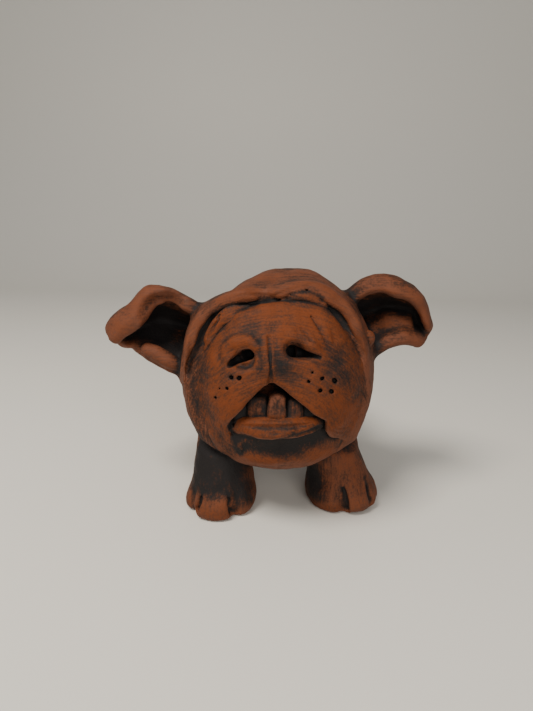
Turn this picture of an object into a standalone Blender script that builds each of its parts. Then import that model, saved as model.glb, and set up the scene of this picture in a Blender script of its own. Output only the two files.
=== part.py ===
"""Terracotta dog: a hand-built clay figure, kept as the pieces its maker pressed together before firing.

The dog stands on z = 0 and faces -Y. Its own right side is at -X. All lengths are in metres.
"""

import math

import bmesh
import bpy
from mathutils import Matrix, Vector

MM = 0.001


def place(x, y, z):
    return Vector((x, y, z)) * MM


# Driving dimensions: places and lengths in millimetres unless they carry MM, facets as columns and rows
GAP = 0.3 * MM
ORIGIN = place(-8.64, 6.67, 0)

HEAD_CENTRE = place(-3, -32, 94)
HEAD_RADII = place(58.5, 53, 54.5)
HEAD_FACETS = (36, 22)
CROWN_SQUARENESS = 2.05
JOWL_SQUARENESS = 3.2
JOWL_TOP_EASE = 3
JOWL_BACK_EASE = 0.75
HEAD_DABS = [((14, -24, 146), 42, (0, 0, 2.5)), ((-40, -24, 134), 30, (2, 0, -3))]
FACE_PLANE = -62 * MM
FACE_DOME = 0.12

BODY_CENTRE = place(0, 34, 76)
BODY_RADII = place(46, 62, 39)
BODY_FACETS = (30, 18)
BODY_SQUARENESS = 2.2
BACK_DAB = ((0, 50, 118), 60, (0, 0, -4))

MUZZLE_CENTRE = place(-1.5, -52, 87)
MUZZLE_RADII = place(47.5, 36, 50)
MUZZLE_FACETS = (44, 26)
MUZZLE_SQUARENESS = 2.3
NOSE_X = -7.5
MUZZLE_DABS = [
    ((-27, -82, 88), 30, (-1, -3, 0)),
    ((20, -82, 86), 30, (1, -3, 0)),
    ((NOSE_X, -86, 120), 26, (0, -2.5, 1)),
]
MOUTH_TOP = 96
MOUTH_DEPTHS = (-110, -8)
NOSTRIL_DEPTH = 13
NOSTRIL_FACETS = (14, 10)
PHILTRUM_CENTRE = place(NOSE_X, -91.5, 108)
PHILTRUM_RADII = place(1.8, 5, 13)
PHILTRUM_FACETS = (8, 8)

JAW_CENTRE = place(-3, -48, 62.5)
JAW_RADII = place(43, 35, 30.5)
JAW_FACETS = (28, 16)
JAW_SQUARENESS = 2.15
MOUTH_FLOOR = 69 * MM
FLOOR_RISE = 0.12

COIL_NUDGE = 0.01
LIP_RADIUS = 7 * MM
LIP_FLATNESS = 0.85
TOOTH_EDGES = (-27, -19, -8.4, 1.4, 10, 17)
TOOTH_TOPS = ((81, -79), (86, -81.5), (88.5, -83.5), (86, -82), (81.5, -79.5))
TOOTH_FOOT = 66
TOOTH_DEPTH = 4.5
TOOTH_FACETS = (16, 10)
TOOTH_SQUARENESS = 6.0

BROW_RADIUS = 5.5 * MM
BROW_LIFT = 2.5 * MM
LID_RADIUS = 3 * MM
LID_LIFT = 1.5 * MM

EAR_RINGS = 17
EAR_STEPS = 12
EAR_NUDGE = 0.03
PELLET_CENTRE = place(48.5, -51, 113.5)
PELLET_RADII = place(4.5, 4.5, 5)
PELLET_FACETS = (12, 8)

LEG_SIDES = 36
LEG_GIRTHS = {0: 0.90, 2.5: 0.99, 7: 1.02, 13: 0.98, 19: 0.87, 27: 0.80, 40: 0.77, 55: 0.75, 70: 0.62}
ANKLE_HEIGHT = 40
SHOULDER_HEIGHT = 70
ANKLE_BEND = 1.5
TOE_GROOVE_ANGLE = 40
TOE_GROOVE_WIDTH = 8
TOE_GROOVE_DEPTH = 4.5
TOE_HEIGHT = 20
TAIL_RADIUS = 8 * MM

# Colours of the clay
TERRACOTTA = (0.30, 0.105, 0.045)
STAINED = (0.085, 0.040, 0.028)
CLAY_ROUGHNESS = 0.72


# Clay working helpers
def clear_scene():
    for thing in list(bpy.data.objects):
        bpy.data.objects.remove(thing, do_unlink=True)


def clay(name, colour):
    material = bpy.data.materials.new(name)
    material.use_nodes = True
    shader = material.node_tree.nodes["Principled BSDF"]
    shader.inputs["Base Color"].default_value = (*colour, 1)
    shader.inputs["Roughness"].default_value = CLAY_ROUGHNESS
    shader.inputs["Metallic"].default_value = 0.0
    return material


def piece(name, shape, colour=TERRACOTTA):
    """Turn a finished shape into a named piece, with flat facets that its neighbours can copy."""
    bmesh.ops.recalc_face_normals(shape, faces=shape.faces)
    bmesh.ops.triangulate(shape, faces=shape.faces)
    mesh = bpy.data.meshes.new(name)
    shape.to_mesh(mesh)
    shape.free()
    mesh.shade_smooth()
    mesh.materials.append(clay(name + "_clay", colour))
    thing = bpy.data.objects.new(name, mesh)
    bpy.context.collection.objects.link(thing)
    return thing


def ball(centre, radii, facets, squareness=2.0, jowl_squareness=None):
    """A pinched ball with its pole toward the face.

    A squareness above 2 fills out its corners, and a jowl squareness does so below and in front only.
    """
    jowl = jowl_squareness or squareness
    shape = bmesh.new()
    bmesh.ops.create_uvsphere(shape, u_segments=facets[0], v_segments=facets[1], radius=1.0)
    bmesh.ops.rotate(shape, verts=shape.verts, matrix=Matrix.Rotation(math.pi / 2, 3, "X"))
    for corner in shape.verts:
        below = min(max(-JOWL_TOP_EASE * corner.co.z, 0), 1)
        in_front = min(max(JOWL_BACK_EASE - corner.co.y, 0), 1)
        power = squareness + (jowl - squareness) * below * in_front
        size = sum(abs(part) ** power for part in corner.co) ** (1 / power)
        corner.co = centre + corner.co / size * radii
    return shape


def dab(shape, middle, reach, push):
    """Press or pull the skin: the whole push at the middle, none at the reach."""
    for corner in shape.verts:
        away = (corner.co - place(*middle)).length / (reach * MM)
        if away < 1:
            corner.co += place(*push) * (1 - away * away) ** 2


def smooth(values, t):
    """The value at t on a smooth curve through the values, where t = 1 is the second of them."""
    i = min(max(int(t), 0), len(values) - 2)
    t -= i
    before = values[max(i - 1, 0)]
    start = values[i]
    end = values[i + 1]
    after = values[min(i + 2, len(values) - 1)]
    bend = before * 2 - start * 5 + end * 4 - after
    turn = start * 3 - end * 3 + after - before
    return start + (end - before) * (t / 2) + bend * (t * t / 2) + turn * (t**3 / 2)


def skin(rings):
    """A closed skin over a row of rings."""
    shape = bmesh.new()
    loops = [[shape.verts.new(point) for point in ring] for ring in rings]
    for near, far in zip(loops, loops[1:]):
        for i, corner in enumerate(near):
            shape.faces.new((near[i - 1], corner, far[i], far[i - 1]))
    shape.faces.new(loops[0][::-1])
    shape.faces.new(loops[-1])
    bmesh.ops.recalc_face_normals(shape, faces=shape.faces)
    return shape


def coil(path, radius, rings, sides, flatness=1.0, end=0.25, bluntness=4):
    """A rolled coil laid along a path and drawn in at both ends, later where it is blunt.

    A flatness below 1 presses it onto the head.
    """
    last = len(path) - 1
    loops = []
    for ring in range(rings):
        share = ring / (rings - 1)
        middle = smooth(path, share * last)
        ahead = smooth(path, min(share + COIL_NUDGE, 1) * last)
        behind = smooth(path, max(share - COIL_NUDGE, 0) * last)
        along = (ahead - behind).normalized()
        outward = middle - HEAD_CENTRE
        outward = (outward - along * outward.dot(along)).normalized()
        across = along.cross(outward)
        size = radius * (end + (1 - end) * math.sqrt(1 - abs(2 * share - 1) ** bluntness))
        loop = []
        for side in range(sides):
            turn = 2 * math.pi * side / sides
            loop.append(middle + (outward * (flatness * math.cos(turn)) + across * math.sin(turn)) * size)
        loops.append(loop)
    return skin(loops)


def swollen(thing, by):
    """A tool with the piece's shape, its skin moved out by a distance."""
    tool = thing.copy()
    tool.data = thing.data.copy()
    for corner in tool.data.vertices:
        corner.co += corner.normal * by
    bpy.context.collection.objects.link(tool)
    return tool


def carve(thing, tool):
    """Take the tool's shape out of the piece, and put the tool away."""
    cut = thing.modifiers.new("cut", "BOOLEAN")
    cut.operation = "DIFFERENCE"
    cut.object = tool
    bpy.context.view_layer.update()
    graph = bpy.context.evaluated_depsgraph_get()
    carved = bpy.data.meshes.new_from_object(thing.evaluated_get(graph))
    thing.modifiers.clear()
    thing.data = carved
    bpy.data.objects.remove(tool, do_unlink=True)


def seat(thing, *neighbours):
    """Press a piece against its neighbours: it takes their shape, a scored joint away."""
    for neighbour in neighbours:
        carve(thing, swollen(neighbour, GAP))


# Head and body
def make_head():
    shape = ball(HEAD_CENTRE, HEAD_RADII, HEAD_FACETS, CROWN_SQUARENESS, JOWL_SQUARENESS)
    for touch in HEAD_DABS:
        dab(shape, *touch)
    for corner in shape.verts:
        if corner.co.y < FACE_PLANE:
            corner.co.y = FACE_PLANE + (corner.co.y - FACE_PLANE) * FACE_DOME
    return piece("head", shape)


def make_body():
    shape = ball(BODY_CENTRE, BODY_RADII, BODY_FACETS, BODY_SQUARENESS)
    dab(shape, *BACK_DAB)
    return piece("body", shape)


# Face
def make_muzzle():
    shape = ball(MUZZLE_CENTRE, MUZZLE_RADII, MUZZLE_FACETS, MUZZLE_SQUARENESS)
    for touch in MUZZLE_DABS:
        dab(shape, *touch)
    return piece("muzzle", shape)


def make_mouth():
    """The open mouth: a pointed arch, with the hanging lips left standing on both sides."""
    outline = [
        (NOSE_X, MOUTH_TOP),
        (4, 87.5),
        (15, 80),
        (22.5, 75),
        (23, 68),
        (26, 63),
        (32, 59.5),
        (40, 57.5),
        (56, 57),
        (56, 25),
        (-44, 25),
        (-36, 42),
        (-22.5, 50.5),
        (-27.5, 62.5),
        (-30.5, 68),
        (-28, 74.5),
        (-17.5, 86.5),
    ]
    return piece("mouth", skin([[place(x, y, z) for x, z in outline] for y in MOUTH_DEPTHS]))


def make_nostril(middle, width, height, tilt, taper):
    """A slanted hole, narrower toward +X by the taper."""
    shape = ball(place(0, 0, 0), place(width, NOSTRIL_DEPTH, height), NOSTRIL_FACETS)
    for corner in shape.verts:
        corner.co.z *= 1 - taper * corner.co.x / (width * MM)
    bmesh.ops.rotate(shape, verts=shape.verts, matrix=Matrix.Rotation(math.radians(tilt), 3, "Y"))
    bmesh.ops.translate(shape, verts=shape.verts, vec=middle)
    return piece("nostril", shape)


def make_philtrum():
    return piece("philtrum", ball(PHILTRUM_CENTRE, PHILTRUM_RADII, PHILTRUM_FACETS))


def open_face(muzzle, mouth):
    """Cut the mouth, the nostrils and the groove under the nose. The mouth's upper lips stay for the jaw."""
    lips = swollen(muzzle, GAP)
    carve(lips, swollen(mouth, -GAP))
    carve(muzzle, mouth)
    carve(muzzle, make_nostril(place(-22.5, -88, 107.5), 7, 5.6, -28, -0.3))
    carve(muzzle, make_nostril(place(8, -90, 112.3), 10, 4.2, 14, 0.6))
    carve(muzzle, make_philtrum())
    return lips


def make_jaw():
    shape = ball(JAW_CENTRE, JAW_RADII, JAW_FACETS, JAW_SQUARENESS)
    for corner in shape.verts:
        if corner.co.z > MOUTH_FLOOR:
            corner.co.z = MOUTH_FLOOR + (corner.co.z - MOUTH_FLOOR) * FLOOR_RISE
    return piece("lower_jaw", shape, STAINED)


def make_lip():
    """A thick half moon of clay, which the lower teeth stand behind."""
    points = [(-30, -74, 67.5), (-17, -80, 69.5), (-3, -82.5, 69), (10, -81, 70), (24, -74, 72)]
    path = [place(*point) for point in points]
    return piece("lower_lip", coil(path, LIP_RADIUS, 14, 10, LIP_FLATNESS, bluntness=2))


def make_teeth():
    """Five flat pellets in a row, each from one edge to the next, with a rounded top."""
    teeth = []
    for number, (top, front) in enumerate(TOOTH_TOPS):
        left, right = TOOTH_EDGES[number : number + 2]
        middle = place((left + right) / 2, front + TOOTH_DEPTH, (top + TOOTH_FOOT) / 2)
        radii = place((right - left) / 2, TOOTH_DEPTH, (top - TOOTH_FOOT) / 2) - Vector((GAP / 2, 0, 0))
        shape = ball(middle, radii, TOOTH_FACETS, TOOTH_SQUARENESS)
        teeth.append(piece(f"tooth_{number + 1}", shape, STAINED))
    return teeth


def laid_on(thing, points, lift):
    """The points brought to the skin of a piece, and raised from it."""
    path = []
    for point in points:
        _, near, outward, _ = thing.closest_point_on_mesh(place(*point))
        path.append(near + outward * lift)
    return path


def make_brows(head):
    right = [(-8, -62, 137), (-18, -62, 138), (-32, -62, 136), (-43, -61, 130), (-50, -61, 118)]
    right += [(-52.5, -61, 104), (-54, -60, 90), (-55, -57, 78)]
    left = [(-7, -62, 136), (1, -62, 141), (12, -62, 143), (25, -61, 138), (35, -61, 126), (41, -60, 111)]
    left += [(44, -59, 97)]
    return (
        piece("right_brow", coil(laid_on(head, right, BROW_LIFT), BROW_RADIUS, 20, 9)),
        piece("left_brow", coil(laid_on(head, left, BROW_LIFT), BROW_RADIUS, 20, 9)),
    )


def make_eyelids(head):
    right = [(-17, -65, 131), (-30, -65, 130), (-39, -65, 122), (-45, -64, 110)]
    left = [(-3, -64, 135), (5, -64, 137.5), (14, -64, 136.5), (22, -64, 132)]
    return (
        piece("right_eyelid", coil(laid_on(head, right, LID_LIFT), LID_RADIUS, 12, 7)),
        piece("left_eyelid", coil(laid_on(head, left, LID_LIFT), LID_RADIUS, 10, 7)),
    )


# Ears
def ear(guides, walls):
    """A cupped slab over guide lines that run from its root to its tip, the free upper edge first."""
    last = len(walls) - 1
    lines = [[place(*point) for point in guide] for guide in guides]

    def middle(t, s):
        return smooth([smooth(line, t) for line in lines], s)

    loops = []
    for ring in range(EAR_RINGS):
        t = ring / (EAR_RINGS - 1) * last
        wall = smooth(walls, t) * MM
        outer = []
        inner = []
        for step in range(EAR_STEPS + 1):
            s = step / EAR_STEPS * (len(lines) - 1)
            lengthwise = middle(min(t + EAR_NUDGE, last), s) - middle(max(t - EAR_NUDGE, 0), s)
            around = middle(t, min(s + EAR_NUDGE, len(lines) - 1)) - middle(t, max(s - EAR_NUDGE, 0))
            outward = around.cross(lengthwise).normalized()
            outer.append(middle(t, s) + outward * (wall / 2))
            inner.append(middle(t, s) - outward * (wall / 2))
        upper_rim = rim(outer[0], inner[0], outer[1])
        lower_rim = rim(outer[-1], inner[-1], outer[-2])
        loops.append([*outer, lower_rim, *reversed(inner), upper_rim])
    return skin(loops)


def rim(outside, inside, behind):
    """The rounded edge of a slab, half a wall past its end."""
    ahead = (outside - behind).normalized()
    return (outside + inside) / 2 + ahead * ((outside - inside).length / 2)


def make_right_ear():
    """The ear with its outer half folded forward as a flap."""
    free = [(-49, -36, 121), (-59, -38, 128.5), (-70.5, -40, 132.5), (-80, -42, 129)]
    free += [(-86, -44, 119), (-96.5, -43, 110.5), (-102.5, -40, 103)]
    crest = [(-49, -26, 122.5), (-60.5, -28, 129), (-72, -31, 134), (-81.5, -33, 133.5)]
    crest += [(-91.5, -34, 125), (-105, -33, 114.5), (-109.5, -31, 105.5)]
    back = [(-53, -8, 103), (-64, -8, 108.5), (-76, -9, 111.5), (-85, -12, 113)]
    back += [(-92, -16, 109), (-99.5, -20, 103.5), (-106, -23, 99.5)]
    low = [(-55, -34, 82.5), (-64, -37, 86.5), (-73, -38, 90.5), (-80.5, -37, 94)]
    low += [(-87, -36, 97), (-92.5, -34, 98), (-98, -32, 97.5)]
    return piece("right_ear", ear((free, crest, back, low), (9, 9, 8.5, 9, 9, 8.5, 7)))


def make_left_ear():
    """The ear that stands up as an open cup."""
    free = [(36.5, -34, 131), (43, -38, 137), (53, -41, 142.5), (64.5, -42, 141)]
    free += [(74.5, -42, 137), (82, -40, 128), (88, -37, 116)]
    crest = [(36.5, -25, 131.5), (45, -28, 139), (55.5, -31, 144.5), (67, -32, 143)]
    crest += [(78, -32, 138), (86, -31, 128.5), (92.5, -29, 116)]
    back = [(45, -8, 109), (54.5, -8, 115), (64, -9, 118.5), (73, -12, 120.5)]
    back += [(80, -16, 119), (86, -20, 115), (91.5, -24, 108.5)]
    low = [(45, -33, 93), (52.5, -38, 100), (59, -40, 105.5), (65, -41, 109)]
    low += [(72, -41, 110.5), (78.5, -39, 109), (84, -36, 105)]
    return piece("left_ear", ear((free, crest, back, low), (9, 9, 9, 9.5, 9, 8, 6.5)))


def make_pellet():
    return piece("left_ear_pellet", ball(PELLET_CENTRE, PELLET_RADII, PELLET_FACETS))


# Legs and tail
def leg(foot, knee, shoulder, width, depth, facing):
    """A stout coil on a three-toed foot. Facing turns the toes, in degrees, toward +X."""
    ankle = place(*knee, ANKLE_HEIGHT)
    loops = []
    for height, girth in LEG_GIRTHS.items():
        if height <= ANKLE_HEIGHT:
            middle = place(*foot, 0).lerp(ankle, (height / ANKLE_HEIGHT) ** ANKLE_BEND)
        else:
            rise = (height - ANKLE_HEIGHT) / (SHOULDER_HEIGHT - ANKLE_HEIGHT)
            middle = ankle.lerp(place(*shoulder, SHOULDER_HEIGHT), rise)
        middle.z = height * MM
        toes = max(0, 1 - (height / TOE_HEIGHT) ** 2)
        ring = []
        for side in range(LEG_SIDES):
            turn = 360 * side / LEG_SIDES - 180
            grooves = [(turn - angle) / TOE_GROOVE_WIDTH for angle in (-TOE_GROOVE_ANGLE, TOE_GROOVE_ANGLE)]
            dip = sum(math.exp(-(groove**2)) for groove in grooves) * toes * TOE_GROOVE_DEPTH / width
            out = place(math.sin(math.radians(turn)) * width, -math.cos(math.radians(turn)) * depth, 0)
            out.rotate(Matrix.Rotation(math.radians(facing), 3, "Z"))
            ring.append(middle + out * (girth - dip))
        loops.append(ring)
    return skin(loops)


def make_legs():
    return (
        piece("front_right_leg", leg((-37.5, -44.5), (-36.5, -41), (-28, -8), 23, 24, -8)),
        piece("front_left_leg", leg((43, -35), (33, -36), (27, -8), 23.5, 24, 32)),
        piece("rear_right_leg", leg((-35, 58), (-32, 56), (-24, 50), 22, 24, -14)),
        piece("rear_left_leg", leg((35, 58), (32, 56), (24, 50), 22, 24, 14)),
    )


def make_tail():
    path = [place(0, 84, 84), place(0, 92, 92), place(1, 95, 102), place(2, 92, 111)]
    return piece("tail", coil(path, TAIL_RADIUS, 12, 10))


# Assembly
def make_dog():
    clear_scene()
    head = make_head()
    body = make_body()
    muzzle = make_muzzle()
    jaw = make_jaw()
    lip_roll = make_lip()
    teeth = make_teeth()
    brows = make_brows(head)
    eyelids = make_eyelids(head)
    right_ear = make_right_ear()
    left_ear = make_left_ear()
    pellet = make_pellet()
    legs = make_legs()
    tail = make_tail()

    seat(tail, body)
    for limb in legs[:2]:
        seat(limb, head, body, jaw)
    for limb in legs[2:]:
        seat(limb, body)
    seat(body, head)
    seat(pellet, left_ear, head, brows[1])
    seat(right_ear, head, brows[0])
    seat(left_ear, head, brows[1])
    for tooth in teeth:
        seat(tooth, lip_roll, jaw)
    seat(lip_roll, jaw)
    for strip in eyelids:
        seat(strip, head, muzzle, *brows)
    for roll in brows:
        seat(roll, head, muzzle)
    seat(brows[0], brows[1])
    lips = open_face(muzzle, make_mouth())
    seat(muzzle, head)
    seat(jaw, head)
    for thing in (jaw, lip_roll, *teeth):
        carve(thing, swollen(lips, 0))
    bpy.data.objects.remove(lips, do_unlink=True)

    stand = bpy.data.objects.new("stand", None)
    bpy.context.collection.objects.link(stand)
    stand.location = -ORIGIN
    for thing in bpy.data.objects:
        if thing is not stand:
            thing.parent = stand


make_dog()
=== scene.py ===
# %% [markdown]
# # A terracotta dog
# The figure is a small dog, built by hand from pinched balls, coils and slabs of clay, fired, and
# rubbed with a dark oxide wash. The packed model gives every piece its place and size. This lesson
# gives each piece its clay surface and its finish.

# %% Load the packed figure
import math

import bpy
import numpy as np
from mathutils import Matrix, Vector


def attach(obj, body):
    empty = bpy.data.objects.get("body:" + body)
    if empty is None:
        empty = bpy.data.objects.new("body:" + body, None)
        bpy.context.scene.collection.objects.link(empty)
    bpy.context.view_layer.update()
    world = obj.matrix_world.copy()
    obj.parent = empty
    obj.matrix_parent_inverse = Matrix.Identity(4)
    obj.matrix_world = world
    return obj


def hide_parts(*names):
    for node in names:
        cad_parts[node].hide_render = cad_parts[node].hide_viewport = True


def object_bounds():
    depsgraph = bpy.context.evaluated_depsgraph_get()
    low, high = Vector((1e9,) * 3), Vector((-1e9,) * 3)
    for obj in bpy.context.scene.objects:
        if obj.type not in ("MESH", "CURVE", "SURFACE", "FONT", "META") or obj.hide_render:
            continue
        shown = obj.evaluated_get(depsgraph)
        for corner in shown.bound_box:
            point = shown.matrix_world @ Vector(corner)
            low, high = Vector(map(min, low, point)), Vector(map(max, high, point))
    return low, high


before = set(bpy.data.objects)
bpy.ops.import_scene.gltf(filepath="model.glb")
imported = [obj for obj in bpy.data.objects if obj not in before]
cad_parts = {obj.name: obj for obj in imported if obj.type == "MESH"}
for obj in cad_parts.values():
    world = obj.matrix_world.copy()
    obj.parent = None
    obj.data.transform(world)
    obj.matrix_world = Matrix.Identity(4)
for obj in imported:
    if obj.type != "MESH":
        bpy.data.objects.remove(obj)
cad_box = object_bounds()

import openvdb
from mathutils import Matrix, Vector
from mathutils.bvhtree import BVHTree

MM = 0.001
print("pieces:", len(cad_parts), "box:", [tuple(round(v / MM, 1) for v in corner) for corner in cad_box])

# %% [markdown]
# ## The viewpoint
# The camera stands where the photograph was taken from: just above the height of the dog, looking a
# little down, with the horizon leaning slightly. It could be turned by eye, but then no mark would land
# in its place. So it is set from numbers, and set first, because marks on the clay are drawn along its
# sight lines.

# %% Camera
FRAME_WIDTH = 533
FRAME_HEIGHT = 711
FOCAL_PIXELS = 493
SENSOR_HEIGHT = 24
NEAREST_SEEN = 0.01
EYE = Vector((-1.36, -336.67, 175.5)) * MM
LOOK_DOWN = math.radians(14.88)
LEAN = math.radians(-1.58)

ahead = Vector((0, math.cos(LOOK_DOWN), -math.sin(LOOK_DOWN)))
level = Vector((1, 0, 0))
down = ahead.cross(level)
image_right = level * math.cos(LEAN) + down * math.sin(LEAN)
image_down = down * math.cos(LEAN) - level * math.sin(LEAN)

lens = bpy.data.cameras.new("viewpoint")
lens.sensor_fit = "VERTICAL"
lens.sensor_height = SENSOR_HEIGHT
lens.lens = FOCAL_PIXELS / FRAME_HEIGHT * SENSOR_HEIGHT
lens.clip_start = NEAREST_SEEN
camera = bpy.data.objects.new("viewpoint", lens)
camera.matrix_world = Matrix(
    [*((image_right[i], -image_down[i], -ahead[i], EYE[i]) for i in range(3)), (0, 0, 0, 1)]
)
bpy.context.collection.objects.link(camera)
bpy.context.scene.camera = camera
print("camera", round(lens.lens, 2), "mm lens")

# %% [markdown]
# ## Floor
# A plain pale sheet, bent up behind the dog, is floor and backdrop in one. Two flat planes would do
# too, but their edge would show as a line behind the figure.

# %% Floor sheet
FLOOR_COLOUR = (0.70, 0.665, 0.60, 1)
FLOOR_ROUGHNESS = 0.55
FLOOR_HALF_WIDTH = 3.0
FLOOR_FRONT = -1.6
FLOOR_BACK = 0.9
BEND_RADIUS = 0.6
BEND_STEPS = 12
WALL_TOP = 2.6


def floor_profile():
    """Depth and height of the sheet from its front edge to the top of the backdrop."""
    yield FLOOR_FRONT, 0.0
    for step in range(BEND_STEPS + 1):
        turn = math.radians(90 * step / BEND_STEPS)
        yield FLOOR_BACK + BEND_RADIUS * math.sin(turn), BEND_RADIUS * (1 - math.cos(turn))
    yield FLOOR_BACK + BEND_RADIUS, WALL_TOP


corners = [(x, y, z) for y, z in floor_profile() for x in (-FLOOR_HALF_WIDTH, FLOOR_HALF_WIDTH)]
faces = [(i, i + 1, i + 3, i + 2) for i in range(0, len(corners) - 2, 2)]
sheet = bpy.data.meshes.new("floor")
sheet.from_pydata(corners, [], faces)
sheet.shade_smooth()
floor_paint = bpy.data.materials.new("floor")
floor_paint.use_nodes = True
floor_shader = floor_paint.node_tree.nodes["Principled BSDF"]
floor_shader.inputs["Base Color"].default_value = FLOOR_COLOUR
floor_shader.inputs["Roughness"].default_value = FLOOR_ROUGHNESS
sheet.materials.append(floor_paint)
floor = bpy.data.objects.new("floor", sheet)
bpy.context.collection.objects.link(floor)
print("floor sheet:", len(sheet.polygons), "faces")

# %% [markdown]
# ## Light
# Matt clay shows its form by soft shade. One lamp hangs above and to the left, a wider and weaker one
# fills from the front, and a dim sky keeps the hollows from going black. Every lamp has a place, a
# size, a power and a colour.

# %% Lamps
LAMPS = {
    "ceiling_lamp": ((-0.42, -0.50, 1.00), 0.40, 15.0, (1.0, 0.95, 0.87)),
    "front_fill": ((0.30, -1.3, 0.55), 0.9, 9.0, (1.0, 0.97, 0.93)),
}
AIM = Vector((0, 0, 0.08))
SKY_COLOUR = (0.94, 0.97, 1.0, 1)
SKY_STRENGTH = 0.36

for name, (place, size, watts, colour) in LAMPS.items():
    light = bpy.data.lights.new(name, "AREA")
    light.size = size
    light.energy = watts
    light.color = colour
    lamp = bpy.data.objects.new(name, light)
    lamp.location = place
    lamp.rotation_euler = (AIM - lamp.location).to_track_quat("-Z", "Y").to_euler()
    bpy.context.collection.objects.link(lamp)

sky = bpy.data.worlds.new("room")
sky.use_nodes = True
sky_shader = sky.node_tree.nodes["Background"]
sky_shader.inputs["Color"].default_value = SKY_COLOUR
sky_shader.inputs["Strength"].default_value = SKY_STRENGTH
bpy.context.scene.world = sky
print("lamps:", ", ".join(LAMPS))

# %% [markdown]
# ## Clay as distances
# Soft clay is easier to model as a field than as faces: every point of a fine grid holds its distance
# to the skin, below zero inside the clay. Rounding a field is a blur, joining two pieces is a smooth
# minimum, and a tool mark is a smooth subtraction. The grid turns back into a mesh at the end, with
# even faces everywhere.

# %% Field helpers
BAND = 9.0
BLUR_REACH = 2.5


def low_of(a, b, blend):
    """The smaller of two fields, with a fillet as wide as the blend."""
    overlap = np.maximum(blend - np.abs(a - b), 0)
    return np.minimum(a, b) - overlap * overlap / (4 * blend)


def high_of(a, b, blend):
    """The larger of two fields, with its edge rounded as wide as the blend."""
    return -low_of(-a, -b, blend)


def blurred(field, steps):
    """A field averaged over its neighbourhood, along one axis after the other."""
    reach = int(math.ceil(BLUR_REACH * steps))
    weights = np.exp(-0.5 * (np.arange(-reach, reach + 1) / steps) ** 2)
    weights = (weights / weights.sum()).astype(np.float32)
    for axis in range(3):
        wide = np.pad(field, [(reach, reach) if i == axis else (0, 0) for i in range(3)], mode="edge")
        count = field.shape[axis]
        total = np.zeros_like(field)
        for shift, weight in enumerate(weights):
            part = [slice(None)] * 3
            part[axis] = slice(shift, shift + count)
            total += weight * wide[tuple(part)]
        field = total
    return field


print("a 4 mm blend fills the corner of two planes by", -low_of(0.0, 0.0, 4.0), "mm")

# %% Reading a field between its points
def read_grid(field, places):
    """A field read at three rows of places, which count its steps, by straight lines between them."""
    for axis, row in enumerate(places):
        row = np.clip(row, 0, field.shape[axis] - 1)
        first = np.minimum(row.astype(int), field.shape[axis] - 2)
        share = np.expand_dims((row - first).astype(np.float32), [i for i in range(3) if i != axis])
        field = np.take(field, first, axis) * (1 - share) + np.take(field, first + 1, axis) * share
    return field


LAST_PLACE = 1.001


def read_spots(field, spots):
    """A field read at scattered places, which count its steps."""
    spots = np.clip(spots, 0, np.array(field.shape) - LAST_PLACE)
    first = spots.astype(int)
    share = spots - first
    total = np.zeros(len(spots), np.float32)
    for corner in np.ndindex(2, 2, 2):
        weight = np.prod(np.where(corner, share, 1 - share), axis=1)
        total += weight * field[tuple((first + corner).T)]
    return total


print("halfway along an edge from 0 to 1:", read_spots(np.indices((2, 2, 2))[0], np.array([[0.5, 0, 0]]))[0])

# %% [markdown]
# ## Lines through a few points
# Rolls and tool marks are drawn through a few points. A smooth curve through them needs no handles to
# set, and a few sizes spread along it make a roll swell and taper.

# %% Smooth lines
def along(points, steps=6):
    """Points on a smooth curve through the given ones."""
    points = np.asarray(points, float)
    if len(points) < 2:
        return points
    ends = np.vstack([2 * points[0] - points[1], points, 2 * points[-1] - points[-2]])
    line = []
    for before, start, end, after in zip(ends, ends[1:], ends[2:], ends[3:]):
        for t in np.arange(steps) / steps:
            line.append(
                0.5 * (2 * start + (end - before) * t + (2 * before - 5 * start + 4 * end - after) * t**2)
                + 0.5 * (3 * start - before - 3 * end + after) * t**3
            )
    return np.array([*line, points[-1]])


def spread(values, count):
    """A few values, spread evenly over a count of places."""
    return np.interp(np.linspace(0, 1, count), np.linspace(0, 1, len(values)), values)


print("3 points make a line of", len(along([(0, 0), (1, 2), (2, 0)])))

# %% [markdown]
# ## A piece of clay
# One class holds a piece as a field. It reads the packed solid, and it knows the few things hands do:
# add a roll of clay, cut with a round tool, and tell how far a place lies from the skin.

# %% Piece of clay
ROPE_MARGIN = 2
TINY = 1e-9
CUBIC_MM = 1000


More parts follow.
